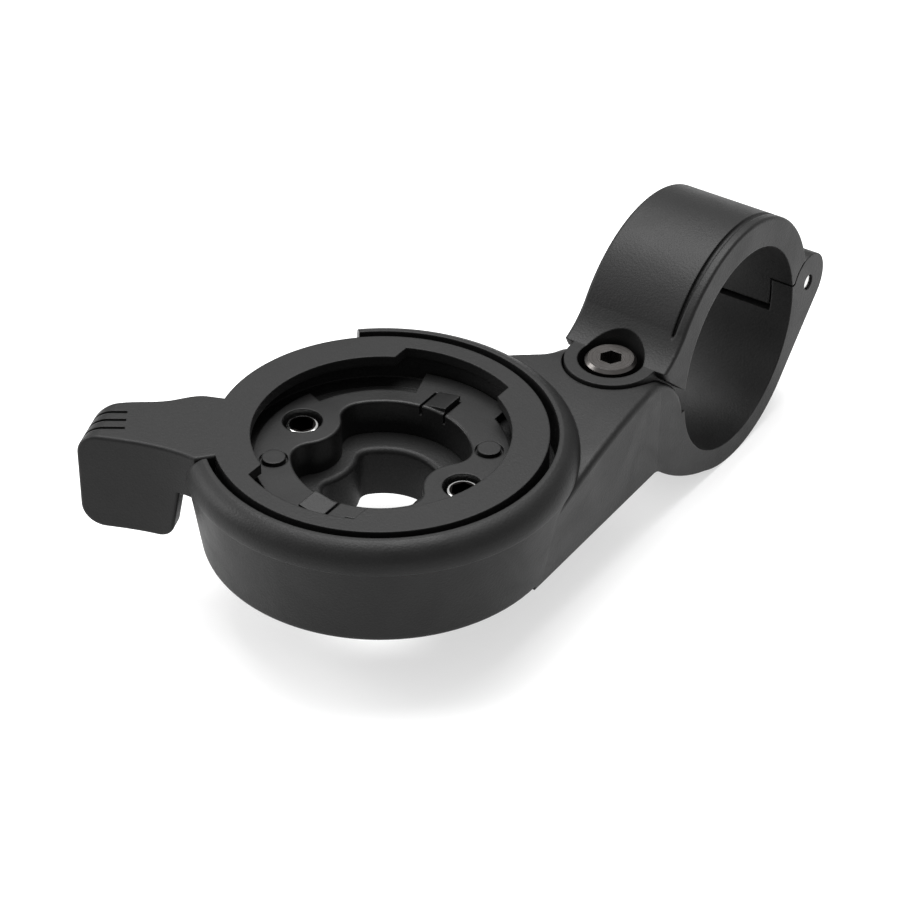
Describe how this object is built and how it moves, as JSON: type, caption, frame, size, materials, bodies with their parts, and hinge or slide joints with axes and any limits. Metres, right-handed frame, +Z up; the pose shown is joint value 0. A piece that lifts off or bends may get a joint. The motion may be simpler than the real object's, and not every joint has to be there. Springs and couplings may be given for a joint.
{
  "type": "cycling computer mount",
  "caption": "Out-front handlebar mount for a cycling computer: hinged bar clamp, short offset arm and round quarter-turn cup with a lever-operated lock ring.",
  "frame": {"origin": "centre of the handlebar bore, at the middle of the clamp's width", "axes": "+X along the handlebar, -Y out to the front towards the cup, +Z up, along the cup's axis"},
  "size_m": [0.0634, 0.1097, 0.0396],
  "materials": {
    "moulded_composite": "fine spark-eroded texture, matt black glass-filled nylon",
    "moulded_insert": "smoother satin black glass-filled nylon",
    "bright_screws": "bright plated screws",
    "brass": "turned and knurled brass",
    "stainless": "bright stainless steel",
    "bolt_steel": "dark satin steel"
  },
  "bodies": {
    "mount": {"mount_arm": "moulded_composite", "receiver_insert": "moulded_insert", "receiver_screws": "bright_screws", "screw_inserts": "brass", "detent_ball_left": "stainless", "detent_ball_right": "stainless", "detent_spring_left": "stainless", "detent_spring_right": "stainless", "hinge_pin": "stainless", "clamp_nut": "stainless"},
    "ring": {"lock_ring": "moulded_composite"},
    "band": {"clamp_band": "moulded_composite"},
    "washer": {"clamp_washer": "bolt_steel"},
    "bolt": {"clamp_bolt": "bolt_steel"}
  },
  "joints": [
    {"name": "lever_swing", "type": "hinge", "parent": "mount", "child": "ring", "pos_m": [-0.0162, -0.0566, 0.005], "axis": [0, 0, 1], "range_deg": [-60, 0]},
    {"name": "band_hinge", "type": "hinge", "parent": "mount", "child": "band", "pos_m": [0, 0.0209, 0.0007], "axis": [-1, 0, 0], "range_deg": [0, 95]},
    {"name": "bolt_lift", "type": "slide", "parent": "band", "child": "washer", "axis": [0, 0, 1], "range_m": [0, 0.0035]},
    {"name": "bolt_turn", "type": "hinge", "parent": "washer", "child": "bolt", "pos_m": [0, -0.0229, 0.004], "axis": [0, 0, 1], "range_deg": [0, 1801]}
  ],
  "couplings": [
    {"joint": "bolt_turn", "follows": "bolt_lift", "rad_per_m": 8976}
  ]
}
